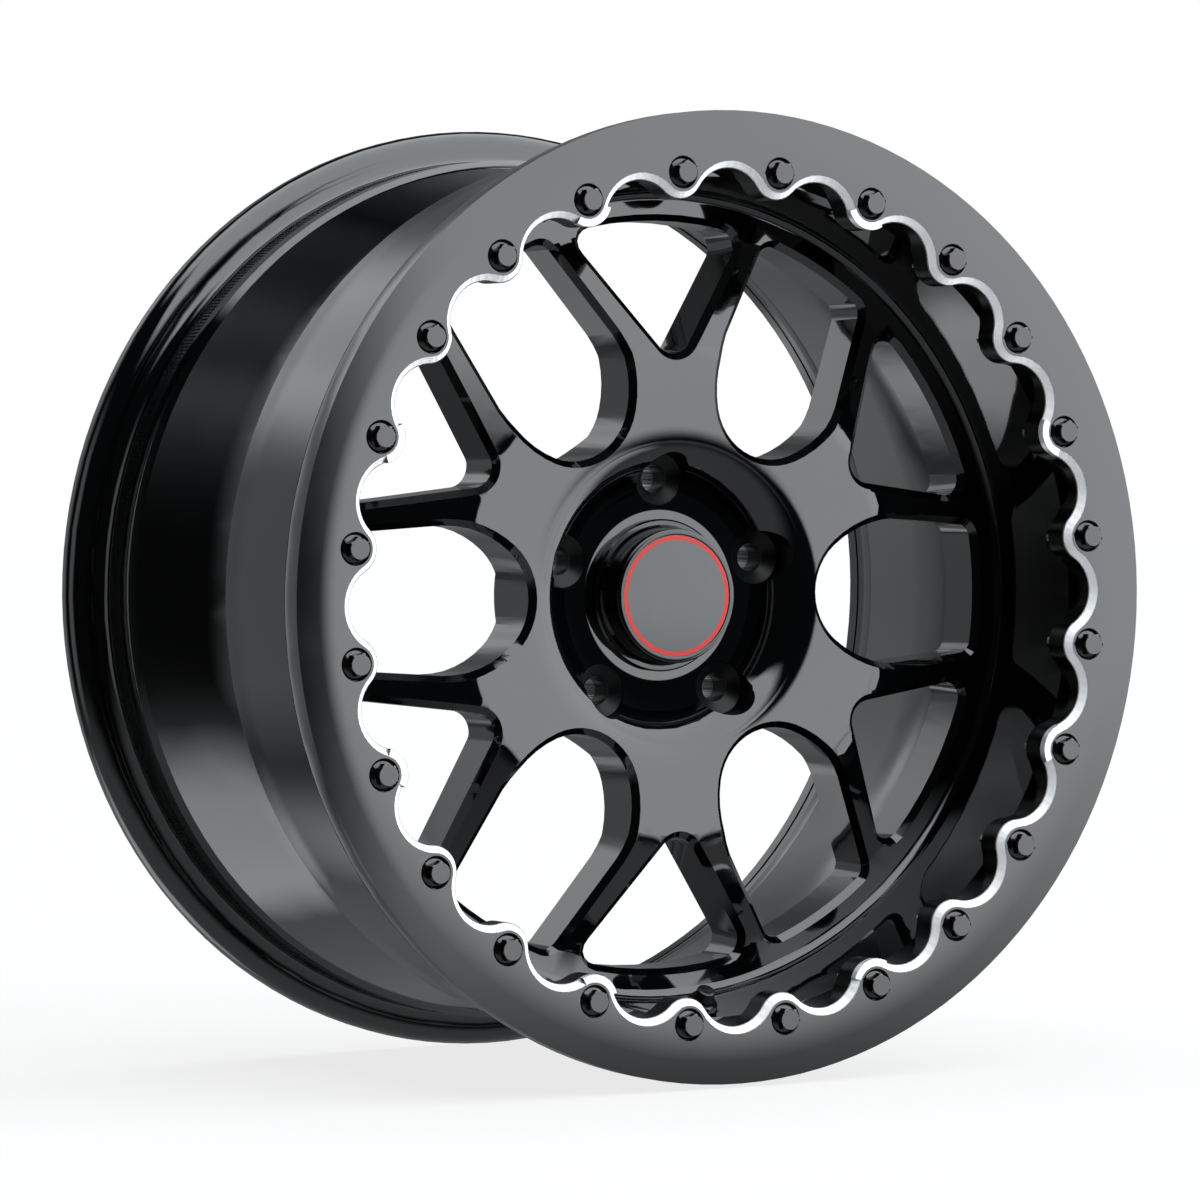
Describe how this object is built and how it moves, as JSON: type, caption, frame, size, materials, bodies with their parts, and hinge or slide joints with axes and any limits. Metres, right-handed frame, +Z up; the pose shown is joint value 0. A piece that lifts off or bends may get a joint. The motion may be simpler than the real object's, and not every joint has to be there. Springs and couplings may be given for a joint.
{
  "type": "beadlock car wheel",
  "caption": "Black cast car wheel with forked spokes, a deep stepped lip, a scalloped bolted clamp ring for the outer tyre bead, a centre cap and a tyre valve.",
  "frame": {"origin": "centre of the hub's mounting face, on the wheel's axis", "axes": "+Y along the wheel's axis, inboard to the car; +Z up, with the valve at the bottom; +X to the right seen from outboard; the outboard face looks to -Y"},
  "size_m": [0.471, 0.2639, 0.471],
  "materials": {
    "gloss_black_paint": "gloss black paint on cast aluminium",
    "ring_black": "gloss black paint on machined aluminium, bare bright bevel along the scallops",
    "black_bolt_steel": "black oxide steel",
    "cap_black_plastic": "gloss black plastic",
    "cap_disc_grey": "dark glossy disc with a printed red ring",
    "spring_steel": "bare spring wire",
    "valve_brass": "turned brass",
    "seal_rubber": "matt rubber",
    "valve_black_metal": "black plated steel",
    "valve_cap_plastic": "black plastic"
  },
  "bodies": {
    "wheel": {"wheel_body": "gloss_black_paint", "clamp_ring": "ring_black", "ring_bolts": "black_bolt_steel", "cap_shell": "cap_black_plastic", "cap_disc": "cap_disc_grey", "cap_wire": "spring_steel", "valve_stem": "valve_brass", "valve_seal": "seal_rubber", "valve_washer": "valve_black_metal", "valve_nut": "valve_black_metal", "valve_core": "valve_brass", "valve_cap": "valve_cap_plastic"},
    "valve_pin": {"valve_pin": "valve_brass"}
  },
  "joints": [
    {"name": "valve_pin_press", "type": "slide", "parent": "wheel", "child": "valve_pin", "axis": [0, 0.5736, -0.8192], "range_m": [0, 0.001], "stiffness_N_per_m": 400, "springref_m": -0.0005}
  ]
}
